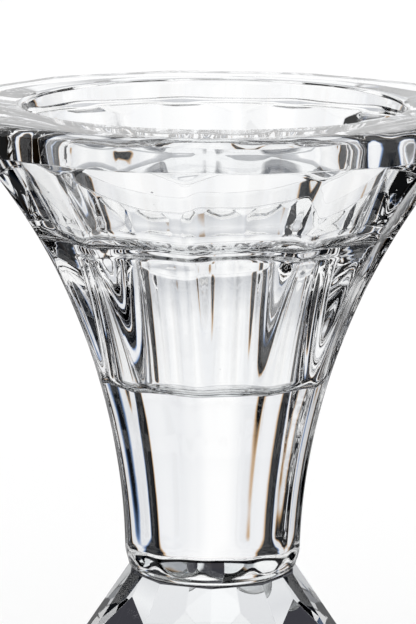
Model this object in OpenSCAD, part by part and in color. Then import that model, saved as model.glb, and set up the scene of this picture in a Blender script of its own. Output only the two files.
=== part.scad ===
// Glass candlestick: a pressed trumpet cup bonded to a cut crystal foot.
// The cup takes a tea light on its ledge, or a taper candle in the socket below it.
// Millimetres, +Z up. The origin is on the axis, on the surface the candlestick stands on.

/* [Cup] */
// Height of the pressed cup alone
cup_h = 63; // [58:0.5:80]
// Radius of the rim over its soft corners
rim_r = 36; // [34.5:0.1:44]
// How far the rim's flat sides lie inside its corners
rim_flat_in = 1; // [0.5:0.1:1.2]
// Height of the rim, from the tops of the flutes up
rim_h = 4.6; // [3:0.1:8]
// Height over which the rim spreads out from the tops of the flutes
rim_flare_h = 0.6; // [0.3:0.1:2]
// Radius of the rounded outer edge of the rim
lip_round = 1.5; // [0.5:0.1:1.8]
// Number of flat flutes round the trumpet, and of flat sides round the rim
flute_count = 12; // [10:1:14]
// How far the hand-cut flutes stray from even spacing, in degrees
flute_wander = 2.3; // [0:0.1:3]
// Distance from the axis to the flat of a flute at the narrow end
neck_flat_r = 11.75; // [11:0.05:14.2]
// Radius of the curve that a flute follows from the neck up to the rim
flute_curve_r = 91.5; // [82:0.5:120]
// Radius of the cup's flat underside
cup_base_r = 10.9; // [9.5:0.1:12]
// Slope of the bevel round the underside, radius gained per unit of height
base_bevel_slope = 0.55; // [0.4:0.05:1]

/* [Bowl and socket] */
// Diameter of the tea light that stands on the ledge
tealight_d = 38.5; // [36:0.5:40]
// Gap all round the tea light
tealight_gap = 0.5; // [0.3:0.05:1.5]
// Depth of the ledge below the rim
bowl_depth = 15.6; // [12:0.2:20]
// Width of the sloping cove between the ledge and the bowl's wall
cove_w = 2.8; // [0.6:0.1:4]
// Height of the same cove
cove_h = 3; // [1:0.1:5]
// Radius of the bowl's mouth
mouth_r = 25.3; // [23:0.1:28]
// Radius of the soft inner edge of the mouth
mouth_round = 1.2; // [0.4:0.1:2]
// Diameter of the taper candle that the socket takes
taper_d = 22; // [20:0.1:22.5]
// Gap all round the taper candle
taper_gap = 0.25; // [0.1:0.05:0.6]
// Depth of the socket below the ledge
socket_depth = 21; // [16:0.2:24]
// Radius of the soft corner round the socket's floor
socket_floor_round = 1.5; // [0.5:0.1:2.5]
// Width of the bevel where the socket opens in the ledge
socket_mouth_bevel = 0.6; // [0.2:0.1:1.5]

/* [Bond] */
// Thickness of the clear bond between cup and foot
bond_t = 0.2; // [0.1:0.05:0.5]
// How far the bond stops short of the cup's underside edge
bond_in = 0.3; // [0:0.1:1]

/* [Foot] */
// Height of the cut foot
foot_h = 30; // [24:0.5:40]
// Number of main facets round the foot
facet_count = 10; // [8:1:12]
// Distance from the axis to a main facet at the foot's top
foot_top_flat_r = 10.9; // [10:0.1:13]
// Slope of a main facet, distance gained per unit of height
foot_slope = 0.634; // [0.5:0.01:0.75]
// Height of the upright girdle round the foot's lower edge
girdle_h = 3; // [2:0.1:5]
// Depth of the small facet that takes off each corner at the girdle
corner_cut = 2; // [0.8:0.1:2.6]
// Slope of a corner facet, distance gained per unit of height
corner_slope = 0.445; // [0.35:0.005:0.48]
// Width of the polished bevel round the underside
foot_bevel = 0.8; // [0.3:0.1:1.5]
// Turn of the foot, from +X to its first corner, in degrees
foot_turn = 17.1; // [0:0.1:36]

/* [Pads] */
// Number of clear pads under the foot
pad_count = 4; // [3:1:6]
// Diameter of a pad
pad_d = 7; // [5:0.5:9]
// Thickness of a pad
pad_h = 1.2; // [0.8:0.1:2]
// Distance from the axis to a pad's centre
pad_ring_r = 19.5; // [14:0.5:21]
// Radius of a pad's soft lower edge
pad_round = 0.6; // [0.2:0.1:0.75]

/* [Hidden] */
$fn = 96;

clear_glass = [0.88, 0.91, 0.93, 0.45];
cut_crystal = [0.76, 0.8, 0.84, 0.55];
clear_bond = [0.95, 0.95, 0.9, 0.6];
clear_rubber = [0.8, 0.82, 0.82, 0.8];

flute_turn = 23.9;              // angle of the first ridge from +X
flute_pitch = 360 / flute_count;
facet_pitch = 360 / facet_count;
foot_top_z = pad_h + foot_h;
cup_z = foot_top_z + bond_t;    // underside of the cup
waist_h = 0.5;                  // height above that where the flutes are deepest
rim_flat_r = rim_r - rim_flat_in;
ledge_r = tealight_d / 2 + tealight_gap;
socket_r = taper_d / 2 + taper_gap;
ledge_h = cup_h - bowl_depth;
socket_floor_h = ledge_h - socket_depth;
flute_top_h = cup_h - rim_h;
run_out = 0.3;                  // how far inside the wheel's path the flutes run out
flute_top_r = neck_flat_r + flute_curve_r - run_out
    - sqrt(pow(flute_curve_r, 2) - pow(flute_top_h - waist_h, 2));
bevel_top_h = (flute_top_r - cup_base_r) / base_bevel_slope;
girdle_flat_r = foot_top_flat_r + foot_slope * (foot_h - girdle_h);
girdle_corner_r = girdle_flat_r / cos(facet_pitch / 2);
over = 1;                       // how far cutters run past a face

// Places its children once for each of count equal turns.
module ring_of(count) {
    for (i = [0:count - 1]) rotate(i * 360 / count) children();
}

// The body's plain round blank: flat underside, bevel and an upright shoulder.
module body_blank() {
    rotate_extrude()
        polygon([[0, 0], [cup_base_r, 0], [flute_top_r, bevel_top_h],
                 [flute_top_r, flute_top_h + over], [0, flute_top_h + over]]);
}

// The rim: it spreads out over the tops of the flutes and has a rounded lip.
module rim_blank() {
    rotate_extrude() {
        polygon([[0, flute_top_h], [flute_top_r - over, flute_top_h], [rim_r, flute_top_h + rim_flare_h],
                 [rim_r, cup_h - lip_round], [rim_r - lip_round, cup_h - lip_round],
                 [rim_r - lip_round, cup_h], [0, cup_h]]);
        translate([rim_r - lip_round, cup_h - lip_round])
            intersection() {
                circle(r = lip_round);
                square(lip_round);
            }
    }
}

// Upright flat sides of the rim, whose corners stand over the middles of the flutes.
module rim_sides() {
    rotate(flute_turn + flute_pitch / 2)
        cylinder(r = rim_flat_r / cos(flute_pitch / 2), h = cup_h + over, $fn = flute_count);
}

// One flute, ground by a wheel whose axis lies across the cup.
module flute_cut() {
    translate([neck_flat_r + flute_curve_r, 0, waist_h])
        rotate([90, 0, 0])
            cylinder(r = flute_curve_r, h = 1.1 * rim_r, center = true, $fn = 360);
}

// The direction a flute faces, a little off even spacing.
function flute_at(i) =
    let (even = flute_turn + (i + 0.5) * flute_pitch)
    even - flute_wander * sin(2 * even - 4);

// Open bowl from the soft edge of its mouth down to the cove and the tea light's ledge.
module bowl_cut() {
    wall_slope = (mouth_r - ledge_r - cove_w) / (bowl_depth - cove_h);
    rotate_extrude()
        polygon([[0, ledge_h], [ledge_r, ledge_h], [ledge_r + cove_w, ledge_h + cove_h],
                 [mouth_r - mouth_round * wall_slope, cup_h - mouth_round],
                 [mouth_r + mouth_round / 2, cup_h], [mouth_r + mouth_round, cup_h + over],
                 [0, cup_h + over]]);
}

// Socket for a taper candle, with a soft floor corner and a bevelled mouth.
module socket_cut() {
    rotate_extrude() {
        translate([0, socket_floor_h]) square([socket_r - socket_floor_round, socket_depth + over]);
        translate([0, socket_floor_h + socket_floor_round])
            square([socket_r, socket_depth - socket_floor_round + over]);
        translate([socket_r - socket_floor_round, socket_floor_h + socket_floor_round])
            circle(r = socket_floor_round);
        polygon([[0, ledge_h - socket_mouth_bevel], [socket_r, ledge_h - socket_mouth_bevel],
                 [socket_r + socket_mouth_bevel, ledge_h], [0, ledge_h]]);
    }
}

module candle_cup() {
    color(clear_glass)
        translate([0, 0, cup_z])
            difference() {
                union() {
                    difference() {
                        body_blank();
                        for (i = [0:flute_count - 1]) rotate(flute_at(i)) flute_cut();
                    }
                    intersection() {
                        rim_blank();
                        rim_sides();
                    }
                }
                bowl_cut();
                socket_cut();
            }
}

module glue_film() {
    color(clear_bond)
        translate([0, 0, foot_top_z]) cylinder(r = cup_base_r - bond_in, h = bond_t);
}

// A block that takes off everything outside a sloping plane. The plane stands flat_r
// from the axis at height z and leans in by slope for each unit of height.
module facet_cut(flat_r, z, slope) {
    size = 3 * girdle_corner_r;
    translate([flat_r, 0, z])
        rotate([0, -atan(slope), 0])
            translate([0, -size / 2, -size]) cube([size, size, 2 * size]);
}

module faceted_foot() {
    color(cut_crystal)
        rotate(foot_turn)
            difference() {
                translate([0, 0, pad_h])
                    cylinder(r = girdle_corner_r, h = foot_h, $fn = facet_count);
                rotate(facet_pitch / 2) ring_of(facet_count) {
                    facet_cut(foot_top_flat_r, foot_top_z, foot_slope);
                    facet_cut(girdle_flat_r - foot_bevel, pad_h, -1);
                }
                ring_of(facet_count) {
                    facet_cut(girdle_corner_r - corner_cut, pad_h + girdle_h, corner_slope);
                    facet_cut(girdle_corner_r - corner_cut, pad_h, 0);
                    facet_cut(girdle_corner_r - corner_cut - foot_bevel, pad_h, -1);
                }
            }
}

// Clear self-adhesive pads that keep the crystal off the table.
module bumper_pads() {
    color(clear_rubber)
        rotate(foot_turn)
            ring_of(pad_count)
                translate([pad_ring_r, 0, 0])
                    rotate_extrude() {
                        square([pad_d / 2 - pad_round, pad_h]);
                        translate([0, pad_round]) square([pad_d / 2, pad_h - pad_round]);
                        translate([pad_d / 2 - pad_round, pad_round]) circle(r = pad_round);
                    }
}

candle_cup();
glue_film();
faceted_foot();
bumper_pads();
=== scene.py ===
import math
import random

import bmesh
import bpy
from mathutils import Matrix, Vector, noise


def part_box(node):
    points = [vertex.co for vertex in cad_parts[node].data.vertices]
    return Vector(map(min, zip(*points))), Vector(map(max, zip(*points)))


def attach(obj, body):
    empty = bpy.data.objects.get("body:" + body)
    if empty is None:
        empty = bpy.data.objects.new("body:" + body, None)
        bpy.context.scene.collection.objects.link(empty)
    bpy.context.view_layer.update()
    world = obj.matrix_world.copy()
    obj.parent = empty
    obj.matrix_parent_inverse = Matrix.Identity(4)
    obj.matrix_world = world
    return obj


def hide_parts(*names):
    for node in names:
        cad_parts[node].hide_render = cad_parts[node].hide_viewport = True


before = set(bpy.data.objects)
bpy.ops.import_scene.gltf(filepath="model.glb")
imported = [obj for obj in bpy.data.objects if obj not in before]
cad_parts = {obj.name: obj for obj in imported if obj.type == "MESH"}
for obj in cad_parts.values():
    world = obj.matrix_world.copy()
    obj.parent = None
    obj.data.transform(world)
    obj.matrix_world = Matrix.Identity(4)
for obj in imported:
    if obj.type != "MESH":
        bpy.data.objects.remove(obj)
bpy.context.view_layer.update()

# ---------------------------------------------------------------------------
# The studio: a pale floor that runs out of sight under even white light. Clear glass shows only
# what stands round it, so the glass itself sees a ring of tall soft boxes with dark gaps between
# them. The gaps draw its dark edges, each with the thin amber or blue fringe of a real prism.
mm = 0.001
scene = bpy.context.scene
scene.view_settings.view_transform = "Standard"

floor_half = 6.0
floor_drop = 0.02 * mm
floor_mesh = bmesh.new()
bmesh.ops.create_grid(floor_mesh, x_segments=8, y_segments=8, size=floor_half)
bmesh.ops.translate(floor_mesh, verts=floor_mesh.verts, vec=(0, 0, -floor_drop))
floor_data = bpy.data.meshes.new("studio_floor")
floor_mesh.to_mesh(floor_data)
floor_mesh.free()
studio_floor = bpy.data.objects.new("studio_floor", floor_data)
studio_floor.visible_transmission = False
studio_floor.visible_glossy = False
scene.collection.objects.link(studio_floor)


def add_node(tree, kind, **inputs):
    """Adds a node and sets its input sockets by name."""
    node = tree.nodes.new(kind)
    for name, value in inputs.items():
        node.inputs[name.replace("_", " ")].default_value = value
    return node


def math_node(tree, operation, first, second=0.0):
    """Adds a Math node fed by sockets or plain numbers."""
    node = tree.nodes.new("ShaderNodeMath")
    node.operation = operation
    for socket, value in zip(node.inputs, (first, second)):
        if isinstance(value, (int, float)):
            socket.default_value = value
        else:
            tree.links.new(value, socket)
    return node.outputs[0]


def mix_node(tree, blend, factor, first, second):
    """Adds a colour Mix node."""
    node = tree.nodes.new("ShaderNodeMix")
    node.data_type = "RGBA"
    node.blend_type = blend
    for socket, value in zip((node.inputs["Factor"], node.inputs[6], node.inputs[7]),
                             (factor, first, second)):
        if isinstance(value, bpy.types.NodeSocket):
            tree.links.new(value, socket)
        else:
            socket.default_value = value
    return node.outputs[2]


def ramp_node(tree, factor, stops):
    """Adds a colour ramp with the given (place, colour) stops."""
    node = tree.nodes.new("ShaderNodeValToRGB")
    elements = node.color_ramp.elements
    while len(elements) < len(stops):
        elements.new(1.0)
    for element, (place, colour) in zip(elements, stops):
        element.position = place
        element.color = (*colour, 1.0)
    tree.links.new(factor, node.inputs["Fac"])
    return node.outputs["Color"]


floor_paint = bpy.data.materials.new("pale_floor")
floor_paint.use_nodes = True
floor_tree = floor_paint.node_tree
floor_shader = floor_tree.nodes["Principled BSDF"]
floor_shader.inputs["Roughness"].default_value = 0.9
floor_shader.inputs["Specular IOR Level"].default_value = 0.1
floor_place = add_node(floor_tree, "ShaderNodeTexCoord")
floor_grain = add_node(floor_tree, "ShaderNodeTexNoise", Scale=3.0, Detail=2.0)
floor_tree.links.new(floor_place.outputs["Object"], floor_grain.inputs["Vector"])
floor_colour = ramp_node(floor_tree, floor_grain.outputs["Fac"],
                         [(0.3, (0.90, 0.90, 0.90)), (0.7, (0.92, 0.92, 0.92))])
floor_tree.links.new(floor_colour, floor_shader.inputs["Base Color"])
floor_data.materials.append(floor_paint)

studio = bpy.data.worlds.new("studio")
scene.world = studio
studio.use_nodes = True
air = studio.node_tree
air.nodes.clear()
look = add_node(air, "ShaderNodeTexCoord")
look_xyz = add_node(air, "ShaderNodeSeparateXYZ")
air.links.new(look.outputs["Generated"], look_xyz.inputs[0])
white = (1.0, 1.0, 1.0)
pale = (0.84, 0.85, 0.87)
amber = (0.55, 0.34, 0.16)
blue = (0.16, 0.27, 0.5)
black = (0.006, 0.007, 0.009)
gaps = [(22, 41), (49, 71), (104, 125), (145, 162)]     # degrees to each side of straight back
fringe = 1.2
gap_stops = [(0.0, white)]
for gap_start, gap_end in gaps:
    for stop_at, colour in ((gap_start - fringe, pale), (gap_start, amber),
                            (gap_start + fringe, black), (gap_end - fringe, black),
                            (gap_end, blue), (gap_end + fringe, pale)):
        gap_stops.append((stop_at / 180, colour))
stops_behind = 13               # the first stop and the six of each gap behind the glass
gap_stops.insert(stops_behind, (0.5, white))
gap_stops.append((1.0, white))
bearing = math_node(air, "ARCTAN2", look_xyz.outputs["X"], look_xyz.outputs["Y"])
off_back = math_node(air, "DIVIDE", math_node(air, "ABSOLUTE", bearing), math.pi)
box_light = ramp_node(air, off_back, gap_stops)
# How high a ray looks: 0 is straight down, 0.5 is level and 1 is straight up.
under_top = 0.146
apron_top = 0.27
reflections_from = 0.51
overhead_from = 0.77
rise = math_node(air, "MULTIPLY_ADD", look_xyz.outputs["Z"], 0.5)
rise.node.inputs[2].default_value = 0.5
box_height = ramp_node(air, rise, [
    (0.10, black), (0.12, (0.35, 0.36, 0.38)), (0.22, (0.6, 0.61, 0.63)), (0.25, white),
    (0.66, white), (0.72, (0.72, 0.73, 0.75)), (0.8, (0.6, 0.61, 0.63))])
apron = ramp_node(air, off_back, [
    (0.575, white), (0.6, (0.1, 0.1, 0.11)), (0.9, (0.1, 0.1, 0.11)), (0.92, white)])
boxes = mix_node(air, "MULTIPLY", 1.0, box_light, box_height)
with_apron = mix_node(air, "MIX", math_node(air, "LESS_THAN", rise, apron_top), boxes,
                      mix_node(air, "MULTIPLY", 1.0, boxes, apron))
under_light = ramp_node(air, off_back, [
    (0.12, (0.92, 0.93, 0.94)), (0.16, (0.2, 0.21, 0.23)), (0.34, (0.2, 0.21, 0.23)),
    (0.38, (0.62, 0.63, 0.65)), (0.47, (0.9, 0.91, 0.92)), (0.53, (0.74, 0.75, 0.77)),
    (0.61, (0.88, 0.89, 0.9)),
    (0.63, (0.05, 0.05, 0.06)), (0.76, (0.05, 0.05, 0.06)), (0.78, (0.84, 0.85, 0.86))])
with_under = mix_node(air, "MIX", math_node(air, "LESS_THAN", rise, under_top), with_apron,
                      under_light)
overhead = math_node(air, "GREATER_THAN", rise, overhead_from)
all_round = mix_node(air, "MIX", overhead, with_under, (1.0, 1.0, 1.0, 1.0))
in_glass = add_node(air, "ShaderNodeBackground")
air.links.new(all_round, in_glass.inputs["Color"])
plain_white = add_node(air, "ShaderNodeBackground", Color=(1.0, 1.0, 1.0, 1.0), Strength=1.12)
ray_kind = add_node(air, "ShaderNodeLightPath")
glass_ray = math_node(air, "MAXIMUM", ray_kind.outputs["Is Transmission Ray"],
                      ray_kind.outputs["Is Glossy Ray"])
# Low light is kept off the outside of the glass, so reflections show only what stands higher.
full_light = math_node(air, "MAXIMUM", ray_kind.outputs["Is Transmission Ray"],
                       math_node(air, "GREATER_THAN", rise, reflections_from))
glow = math_node(air, "MULTIPLY_ADD", full_light, 0.8)
glow.node.inputs[2].default_value = 0.25
air.links.new(glow, in_glass.inputs["Strength"])
seen = air.nodes.new("ShaderNodeMixShader")
air.links.new(glass_ray, seen.inputs[0])
air.links.new(plain_white.outputs[0], seen.inputs[1])
air.links.new(in_glass.outputs[0], seen.inputs[2])
world_out = air.nodes.new("ShaderNodeOutputWorld")
air.links.new(seen.outputs[0], world_out.inputs["Surface"])

# ---------------------------------------------------------------------------
# The camera: a long lens a little above the rim, close in on the cup and the top of the foot.
foot_low, foot_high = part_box("faceted_foot")
cup_low, cup_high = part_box("candle_cup")
picture_rows = 624
lens_in_rows = 3130
view_distance = 409.3 * mm
view_height = foot_high.z + 116.8 * mm
view_pitch = math.radians(11.3)
view_roll = math.radians(0.3)
view_side = -0.75 * mm
camera_data = bpy.data.cameras.new("camera")
camera_data.sensor_width = 36.0
camera_data.lens = lens_in_rows / picture_rows * camera_data.sensor_width
camera_data.clip_start = 0.01
camera = bpy.data.objects.new("camera", camera_data)
scene.collection.objects.link(camera)
camera.matrix_world = (Matrix.Translation((view_side, -view_distance, view_height))
                       @ Matrix.Rotation(math.pi / 2 - view_pitch, 4, "X")
                       @ Matrix.Rotation(view_roll, 4, "Z"))
scene.camera = camera

# ---------------------------------------------------------------------------
# The candle cup: one pressing of clear soda glass. The plunger leaves the bowl, the tea-light
# ledge and the taper socket, twelve flutes are cut by hand under a twelve-sided rim, and fire
# polishing rounds every edge and leaves a faint ripple and a few small bubbles.
cup_h = cup_high.z - cup_low.z
rim_r = 36.0 * mm
rim_flat_r = 35.0 * mm
rim_h = 4.6 * mm
rim_flare_h = 0.35 * mm
lip_round = 1.4 * mm
flute_count = 12
flute_turn = math.radians(23.9)
flute_wander = math.radians(2.3)
neck_flat_r = 11.75 * mm
flute_curve_r = 91.5 * mm
waist_h = 0.5 * mm
ridge_land = 0.3 * mm
flute_hollow = (0.16 * mm, 0.45 * mm)
ridge_soft = 0.25 * mm
arch_soft = 0.3 * mm
cup_base_r = 10.9 * mm
base_bevel_slope = 0.55
base_round = 0.9 * mm
mouth_r = 25.3 * mm
ledge_r = 19.75 * mm
ledge_h = cup_h - 15.6 * mm
cove_w = 2.8 * mm
cove_h = 3.0 * mm
socket_r = 11.25 * mm
socket_floor_h = ledge_h - 21.0 * mm
columns = 360


def arc_points(centre, radius, start, end, count):
    """Points on an arc in the (radius, height) plane, angles in degrees."""
    angles = [math.radians(start + (end - start) * i / count) for i in range(count + 1)]
    return [(centre[0] + radius * math.cos(a), centre[1] + radius * math.sin(a)) for a in angles]


def line_points(start, end, count):
    """Points from start towards end, leaving the end out."""
    return [(start[0] + (end[0] - start[0]) * i / count,
             start[1] + (end[1] - start[1]) * i / count) for i in range(count)]


def soft_min(first, second, width):
    """The smaller of two lengths, with a rounded change-over of that width."""
    share = max(0.0, min(1.0, 0.5 + 0.5 * (second - first) / width))
    return second + (first - second) * share - width * share * (1 - share)


def flute_flat(height):
    """How far a flute's flat stands from the axis at a height in the cup."""
    climb = height - waist_h
    return neck_flat_r + flute_curve_r - math.sqrt(flute_curve_r ** 2 - climb ** 2)


flute_top_h = cup_h - rim_h
flute_top_r = flute_flat(flute_top_h)
flute_dirs = []
for flute in range(flute_count):
    even = flute_turn + (flute + 0.5) * 2 * math.pi / flute_count
    flute_dirs.append(even - flute_wander * math.sin(2 * even - math.radians(4)))
ridge_dirs = [(here + before) / 2 for before, here in
              zip([flute_dirs[-1] - 2 * math.pi] + flute_dirs, flute_dirs)]
ridge_dirs.append(ridge_dirs[0] + 2 * math.pi)


def turn_from(angle, count, centre):
    """Angle to the nearest of count evenly spaced directions, one of which is centre."""
    pitch = 2 * math.pi / count
    return (angle - centre + pitch / 2) % pitch - pitch / 2


def outer_radius(flute, angle, height):
    """Radius of the outside in one flute's sector: flute, ridge land, rim and base bevel."""
    flat = flute_flat(height)
    near_ridge = min((ridge_dirs[flute], ridge_dirs[flute + 1]),
                     key=lambda ridge: abs(ridge - angle))
    to_ridge = abs(near_ridge - flute_dirs[flute])
    across = math.tan(angle - flute_dirs[flute]) / math.tan(to_ridge)
    opening = max(0.0, min(1.0, (height / cup_h - 0.35) / 0.3))
    hollow = (flute_hollow[0] + (flute_hollow[1] - flute_hollow[0]) * opening) * (1 - across ** 2)
    fluted = soft_min((flat - hollow) / math.cos(angle - flute_dirs[flute]),
                      flat / math.cos(to_ridge) - ridge_land, ridge_soft)
    fluted = soft_min(fluted, flute_top_r, arch_soft)
    off_side = turn_from(angle, flute_count, flute_turn)
    rim = soft_min(rim_r, rim_flat_r / math.cos(off_side), 0.4 * mm)
    spread = max(0.0, min(1.0, (height - flute_top_h) / rim_flare_h))
    spread = spread * spread * (3 - 2 * spread)
    bevel = cup_base_r + base_bevel_slope * height
    if height < base_round:
        drop = 1 - height / base_round
        bevel += (base_bevel_slope * (base_round - height)
                  - base_round * (1 - math.sqrt(1 - drop ** 2)))
    return soft_min(fluted + (rim - fluted) * spread, bevel, 0.5 * mm)


def spun(outline, steps):
    """A closed shape turned about the axis from (radius, height) points."""
    shape = bmesh.new()
    chain = [shape.verts.new((radius, 0, height)) for radius, height in outline]
    edges = [shape.edges.new(pair) for pair in zip(chain, chain[1:])]
    bmesh.ops.spin(shape, geom=chain + edges, cent=(0, 0, 0), axis=(0, 0, 1),
                   angle=2 * math.pi, steps=steps, use_merge=True)
    bmesh.ops.remove_doubles(shape, verts=shape.verts, dist=1e-7)
    bmesh.ops.recalc_face_normals(shape, faces=shape.faces)
    return shape


wall_low = 0.3 * mm
wall_high = cup_h - lip_round
underside = line_points((0, 0), (cup_base_r - wall_low, 0), 6)
underside += [(cup_base_r - wall_low, 0), (cup_base_r - 0.1 * mm, 0.08 * mm)]
wall = []
for start, end, rows in ((wall_low, 1.5 * mm, 8), (1.5 * mm, 57 * mm, 84), (57 * mm, 59.6 * mm, 28),
                         (59.6 * mm, wall_high + 0.1 * mm, 4)):
    for row in range(rows):
        wall_at = start + (end - start) * row / rows
        wall.append((min(flute_flat(wall_at) + 1.5 * mm, rim_r), wall_at))
lip = arc_points((rim_r - lip_round, wall_high), lip_round, 10, 90, 10)
rim_top = line_points((rim_r - lip_round, cup_h), (mouth_r + 1 * mm, cup_h), 6)[1:]
mouth = arc_points((mouth_r + 0.9 * mm, cup_h - 1.1 * mm), 1.1 * mm, 90, 163, 8)
bowl = line_points(mouth[-1], (ledge_r + cove_w + 0.1 * mm, ledge_h + cove_h + 0.3 * mm), 22)[1:]
for step in range(17):
    turn = math.radians(90 * step / 17)
    ring_mark = 0.02 * mm * math.sin(step / 17 * 3.5 * 2 * math.pi)
    bowl.append((ledge_r + cove_w * math.cos(turn) + ring_mark,
                 ledge_h + cove_h * (1 - math.sin(turn))))
ledge = line_points((ledge_r - 0.35 * mm, ledge_h), (socket_r + 0.8 * mm, ledge_h), 9)
socket_mouth = arc_points((socket_r + 0.8 * mm, ledge_h - 0.8 * mm), 0.8 * mm, 90, 180, 6)
socket = line_points(socket_mouth[-1], (socket_r, socket_floor_h + 1.5 * mm), 26)[1:]
socket += arc_points((socket_r - 1.5 * mm, socket_floor_h + 1.5 * mm), 1.5 * mm, 0, -90, 6)
socket_floor = line_points((socket_r - 1.5 * mm, socket_floor_h), (0, socket_floor_h), 8)[1:]
cup_outline = (underside + wall + lip + rim_top + mouth + bowl + ledge + socket_mouth + socket
               + socket_floor + [(0, socket_floor_h)])
cup_shape = spun(cup_outline, columns)

# Each column moves to its place in a flute: close together at the ridges, wide in the middle.
columns_a_flute = columns // flute_count
for vert in cup_shape.verts:
    radius, height = vert.co.xy.length, vert.co.z
    if radius < 1e-6:
        continue
    column = round(math.atan2(vert.co.y, vert.co.x) / (2 * math.pi) * columns) % columns
    flute, step = divmod(column, columns_a_flute)
    across = step / columns_a_flute
    share = 0.5 * (2 * min(across, 1 - across)) ** 1.6
    share = share if across < 0.5 else 1 - share
    around = ridge_dirs[flute] + (ridge_dirs[flute + 1] - ridge_dirs[flute]) * share
    if height > cup_h - lip_round - 1e-6 and radius > mouth_r + 0.9 * mm:
        out_share = (radius - mouth_r - 0.9 * mm) / (rim_r - mouth_r - 0.9 * mm)
        radius += out_share * (outer_radius(flute, around, height) - rim_r)
    elif radius > flute_flat(height) + 1e-6 and height > wall_low - 1e-6 and radius > cup_base_r:
        radius = outer_radius(flute, around, height)
    vert.co.x = radius * math.cos(around)
    vert.co.y = radius * math.sin(around)

# Fire polish leaves the skin slightly uneven, most of all where the ledge cooled last. These are
# heights in millimetres. On the outside the skin only ever moves inwards.
slow_ripple = 0.02
fine_ripple = 0.003
ledge_ripple = 0.035
cup_shape.normal_update()
for vert in cup_shape.verts:
    place = vert.co / mm
    ripple = slow_ripple * noise.noise(place * 0.16) + fine_ripple * noise.noise(place * 0.5)
    if abs(vert.co.z - ledge_h) < 1.5 * mm and vert.co.xy.length < ledge_r + 1 * mm:
        ripple += ledge_ripple * noise.noise(place * 0.22 + Vector((7, 3, 1)))
    if vert.co.z < 0.01 * mm:
        ripple = 0
    outside = vert.co.xy.length > rim_flat_r or vert.co.z > cup_h - 0.1 * mm
    inward = min(0.0, ripple - 0.03) if outside else ripple
    vert.co += vert.normal * inward * mm

bubble_count = 34
bubble_seed = random.Random(11)
for bubble in range(bubble_count):
    bubble_r = bubble_seed.uniform(0.05, 0.16) * mm
    bubble_h = bubble_seed.uniform(18, 56) * mm
    inner_r = (socket_r if bubble_h < ledge_h else ledge_r + 2.5 * mm) + 0.6 * mm
    outer_r = flute_flat(bubble_h) - 0.6 * mm
    bubble_at = bubble_seed.uniform(min(inner_r, outer_r), outer_r)
    bubble_turn = bubble_seed.uniform(0, 2 * math.pi)
    place = Matrix.Translation((bubble_at * math.cos(bubble_turn),
                                bubble_at * math.sin(bubble_turn), bubble_h))
    made = bmesh.ops.create_icosphere(cup_shape, subdivisions=2, radius=bubble_r, matrix=place)
    bubble_faces = {face for vert in made["verts"] for face in vert.link_faces}
    bmesh.ops.reverse_faces(cup_shape, faces=list(bubble_faces))

bmesh.ops.translate(cup_shape, verts=cup_shape.verts, vec=(0, 0, cup_low.z))


def finished_piece(shape, name, smooth):
    """Writes the shape to a new object at the origin."""
    data = bpy.data.meshes.new(name)
    shape.to_mesh(data)
    shape.free()
    for face in data.polygons:
        face.use_smooth = smooth
    piece = bpy.data.objects.new(name, data)
    scene.collection.objects.link(piece)
    return piece


def clear_material(name, refraction, tint, ripple_scale, ripple_height, haze):
    """Clear glass with a faint uneven surface and a trace of haze where it was handled."""
    material = bpy.data.materials.new(name)
    material.use_nodes = True
    tree = material.node_tree
    shader = tree.nodes["Principled BSDF"]
    shader.inputs["Transmission Weight"].default_value = 1.0
    shader.inputs["IOR"].default_value = refraction
    place = add_node(tree, "ShaderNodeTexCoord")
    tone = add_node(tree, "ShaderNodeTexNoise", Scale=60.0, Detail=3.0)
    tree.links.new(place.outputs["Object"], tone.inputs["Vector"])
    colour = ramp_node(tree, tone.outputs["Fac"],
                       [(0.3, tint), (0.7, tuple(min(1.0, part + 0.012) for part in tint))])
    tree.links.new(colour, shader.inputs["Base Color"])
    marks = add_node(tree, "ShaderNodeTexNoise", Scale=420.0, Detail=4.0)
    tree.links.new(place.outputs["Object"], marks.inputs["Vector"])
    rough = ramp_node(tree, marks.outputs["Fac"],
                      [(0.55, (0.0, 0.0, 0.0)), (0.8, (haze, haze, haze))])
    tree.links.new(rough, shader.inputs["Roughness"])
    skin = add_node(tree, "ShaderNodeTexNoise", Scale=ripple_scale, Detail=2.0)
    tree.links.new(place.outputs["Object"], skin.inputs["Vector"])
    bump = add_node(tree, "ShaderNodeBump", Strength=1.0, Distance=ripple_height)
    tree.links.new(skin.outputs["Fac"], bump.inputs["Height"])
    tree.links.new(bump.outputs["Normal"], shader.inputs["Normal"])
    return material


candle_cup = finished_piece(cup_shape, "pressed_cup", True)
candle_cup.data.materials.append(
    clear_material("pressed_glass", 1.515, (0.985, 0.988, 0.988), 140.0, 0.000012, 0.03))
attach(candle_cup, "root")
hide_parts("candle_cup")


def bonded_faces(piece, height, reach, material):
    """Gives the flat faces that the bond wets, inside reach of the axis, the bonded material."""
    piece.data.materials.append(material)
    for face in piece.data.polygons:
        if abs(face.center.z - height) < 0.02 * mm and face.center.xy.length < reach:
            face.material_index = len(piece.data.materials) - 1


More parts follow.
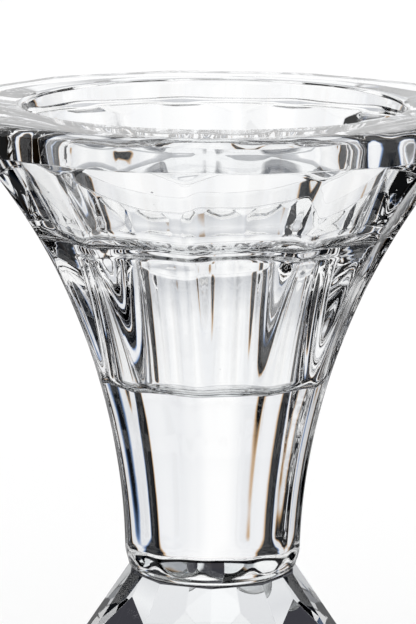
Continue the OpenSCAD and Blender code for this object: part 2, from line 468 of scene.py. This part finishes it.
# ---------------------------------------------------------------------------
# The bond: a film of clear adhesive, cured by lamp, between the cup's underside and the foot's
# top. It wets both faces, so they turn optically clear, and its edge draws in to a thin ring
# that is drawn as painted shade: the contact faces turn dark from just inside its edge outwards.
bond_low, bond_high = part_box("glue_film")
bond_r = 10.6 * mm
bond_t = bond_high.z - bond_low.z
wet_contact_and_edge_shade = bpy.data.materials.new("wet_contact_and_edge_shade")
wet_contact_and_edge_shade.use_nodes = True
wet_tree = wet_contact_and_edge_shade.node_tree
wet_tree.nodes.clear()
wet_place = add_node(wet_tree, "ShaderNodeTexCoord")
wet_noise = add_node(wet_tree, "ShaderNodeTexNoise", Scale=260.0, Detail=3.0)
wet_tree.links.new(wet_place.outputs["Object"], wet_noise.inputs["Vector"])
wet_colour = ramp_node(wet_tree, wet_noise.outputs["Fac"],
                       [(0.3, (0.94, 0.95, 0.95)), (0.7, (0.99, 0.99, 0.99))])
wet_flat = wet_tree.nodes.new("ShaderNodeVectorMath")
wet_flat.operation = "MULTIPLY"
wet_flat.inputs[1].default_value = (1.0, 1.0, 0.0)
wet_tree.links.new(wet_place.outputs["Object"], wet_flat.inputs[0])
wet_length = wet_tree.nodes.new("ShaderNodeVectorMath")
wet_length.operation = "LENGTH"
wet_tree.links.new(wet_flat.outputs[0], wet_length.inputs[0])
wet_out_from = math_node(wet_tree, "DIVIDE", wet_length.outputs["Value"], bond_r)
# Painted shade: from just inside the bond's edge outwards the contact faces turn dark, a painted
# ring standing in for the shade at the film's edge.
bond_edge_painted_shade = ramp_node(wet_tree, wet_out_from, [(0.885, (1.0, 1.0, 1.0)), (0.92, (0.12, 0.12, 0.13))])
wet_shader = add_node(wet_tree, "ShaderNodeBsdfTransparent")
wet_tree.links.new(mix_node(wet_tree, "MULTIPLY", 1.0, wet_colour, bond_edge_painted_shade),
                   wet_shader.inputs["Color"])
wet_out = add_node(wet_tree, "ShaderNodeOutputMaterial")
wet_tree.links.new(wet_shader.outputs[0], wet_out.inputs["Surface"])
bonded_faces(candle_cup, cup_low.z, bond_r, wet_contact_and_edge_shade)

bond_outline = line_points((0, 0), (bond_r - 0.05 * mm, 0), 6)
bond_outline += arc_points((bond_r, bond_t / 2), bond_t / 2, 270, 90, 6)
bond_outline += [(bond_r - 0.05 * mm, bond_t)]
bond_outline += line_points((bond_r - 0.06 * mm, bond_t), (0, bond_t), 6)[1:] + [(0, bond_t)]
bond_shape = spun(bond_outline, 120)
bmesh.ops.translate(bond_shape, verts=bond_shape.verts, vec=(0, 0, bond_low.z))
glue_film = finished_piece(bond_shape, "clear_bond", True)
glue_film.data.materials.append(
    clear_material("clear_bond", 1.49, (0.93, 0.93, 0.9), 900.0, 0.00002, 0.1))
bonded_faces(glue_film, bond_low.z, bond_r, wet_contact_and_edge_shade)
bonded_faces(glue_film, bond_high.z, bond_r, wet_contact_and_edge_shade)
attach(glue_film, "root")
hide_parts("glue_film")

# ---------------------------------------------------------------------------
# The foot: a block of clear crystal, sawn and ground to ten main facets with a small facet on
# each corner, a girdle and a bevelled underside, then polished until only fine arrises show.
foot_h = foot_high.z - foot_low.z
facet_count = 10
foot_turn = math.radians(17.1)
foot_top_flat_r = 10.9 * mm
foot_slope = 0.634
girdle_h = 3 * mm
corner_cut = 2 * mm
corner_slope = 0.445
foot_bevel = 0.8 * mm
arris = 0.12 * mm
to_corner = 1 / math.cos(math.pi / facet_count)
girdle_flat_r = foot_top_flat_r + foot_slope * (foot_h - girdle_h)

foot_shape = bmesh.new()
bmesh.ops.create_cone(
    foot_shape, cap_ends=True, segments=facet_count, radius1=girdle_flat_r * to_corner,
    radius2=girdle_flat_r * to_corner, depth=foot_h,
    matrix=Matrix.Rotation(foot_turn, 4, "Z") @ Matrix.Translation((0, 0, foot_h / 2)))


def grind(shape, turn, reach, height, slope):
    """Takes off all that lies outside one sloping plane and closes the cut face."""
    out = Vector((math.cos(turn), math.sin(turn), 0))
    normal = (out + Vector((0, 0, slope))).normalized()
    cut = bmesh.ops.bisect_plane(
        shape, geom=shape.verts[:] + shape.edges[:] + shape.faces[:], dist=1e-7,
        plane_co=out * reach + Vector((0, 0, height)), plane_no=normal, clear_outer=True)
    rim_edges = [part for part in cut["geom_cut"] if isinstance(part, bmesh.types.BMEdge)]
    if rim_edges:
        bmesh.ops.contextual_create(shape, geom=rim_edges)


for facet in range(facet_count):
    corner_turn = foot_turn + 2 * math.pi * facet / facet_count
    facet_turn = corner_turn + math.pi / facet_count
    corner_r = girdle_flat_r * to_corner - corner_cut
    grind(foot_shape, facet_turn, foot_top_flat_r, foot_h, foot_slope)
    grind(foot_shape, facet_turn, girdle_flat_r - foot_bevel, 0, -1)
    grind(foot_shape, corner_turn, corner_r, girdle_h, corner_slope)
    grind(foot_shape, corner_turn, corner_r, 0, 0)
    grind(foot_shape, corner_turn, corner_r - foot_bevel, 0, -1)
bmesh.ops.remove_doubles(foot_shape, verts=foot_shape.verts, dist=1e-6)
bmesh.ops.dissolve_limit(foot_shape, angle_limit=math.radians(0.5), verts=foot_shape.verts,
                         edges=foot_shape.edges)
bmesh.ops.bevel(foot_shape, geom=foot_shape.edges[:], offset=arris, offset_type="OFFSET",
                affect="EDGES", segments=2, profile=0.5, material=-1, clamp_overlap=True)
bmesh.ops.recalc_face_normals(foot_shape, faces=foot_shape.faces)
bmesh.ops.translate(foot_shape, verts=foot_shape.verts, vec=(0, 0, foot_low.z))
faceted_foot = finished_piece(foot_shape, "cut_foot", False)
faceted_foot.data.materials.append(
    clear_material("cut_crystal", 1.56, (0.985, 0.99, 0.992), 40.0, 0.000004, 0.02))
# The foot's whole top face takes the contact material, so its part outside the bond carries the
# painted dark shade.
bonded_faces(faceted_foot, foot_high.z, 100 * mm, wet_contact_and_edge_shade)
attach(faceted_foot, "root")
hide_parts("faceted_foot")

# ---------------------------------------------------------------------------
# The pads: four small discs of clear soft rubber, stuck under the foot so that the crystal
# does not scratch the table. Each has a flat sole and a soft lower edge.
pad_low, pad_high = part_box("bumper_pads")
pad_h = pad_high.z - pad_low.z
pad_count = 4
pad_r = 3.5 * mm
pad_ring_r = 19.5 * mm
pad_round = 0.6 * mm
pad_outline = line_points((0, 0), (pad_r - pad_round, 0), 3)
pad_outline += arc_points((pad_r - pad_round, pad_round), pad_round, 270, 360, 8)
pad_gap = 0.02 * mm               # keeps the pad's clear top off the foot's clear underside
pad_top = pad_h - pad_gap
pad_outline += line_points((pad_r, pad_round + 0.1 * mm), (pad_r, pad_top), 2)
pad_outline += line_points((pad_r, pad_top), (0, pad_top), 3) + [(0, pad_top)]
rubber = bpy.data.materials.new("clear_rubber")
rubber.use_nodes = True
rubber_tree = rubber.node_tree
rubber_shader = rubber_tree.nodes["Principled BSDF"]
rubber_shader.inputs["Transmission Weight"].default_value = 0.8
rubber_shader.inputs["IOR"].default_value = 1.42
rubber_place = add_node(rubber_tree, "ShaderNodeTexCoord")
rubber_noise = add_node(rubber_tree, "ShaderNodeTexNoise", Scale=700.0, Detail=3.0)
rubber_tree.links.new(rubber_place.outputs["Object"], rubber_noise.inputs["Vector"])
rubber_colour = ramp_node(rubber_tree, rubber_noise.outputs["Fac"],
                          [(0.3, (0.86, 0.88, 0.88)), (0.7, (0.93, 0.94, 0.94))])
rubber_tree.links.new(rubber_colour, rubber_shader.inputs["Base Color"])
rubber_rough = ramp_node(rubber_tree, rubber_noise.outputs["Fac"],
                         [(0.3, (0.25, 0.25, 0.25)), (0.7, (0.4, 0.4, 0.4))])
rubber_tree.links.new(rubber_rough, rubber_shader.inputs["Roughness"])
for pad in range(pad_count):
    pad_turn = foot_turn + 2 * math.pi * pad / pad_count
    pad_shape = spun(pad_outline, 48)
    bmesh.ops.translate(pad_shape, verts=pad_shape.verts,
                        vec=(pad_ring_r * math.cos(pad_turn), pad_ring_r * math.sin(pad_turn),
                             pad_low.z))
    bumper_pad = finished_piece(pad_shape, f"bumper_pad_{pad + 1}", True)
    bumper_pad.data.materials.append(rubber)
    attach(bumper_pad, "root")
    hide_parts("bumper_pads")
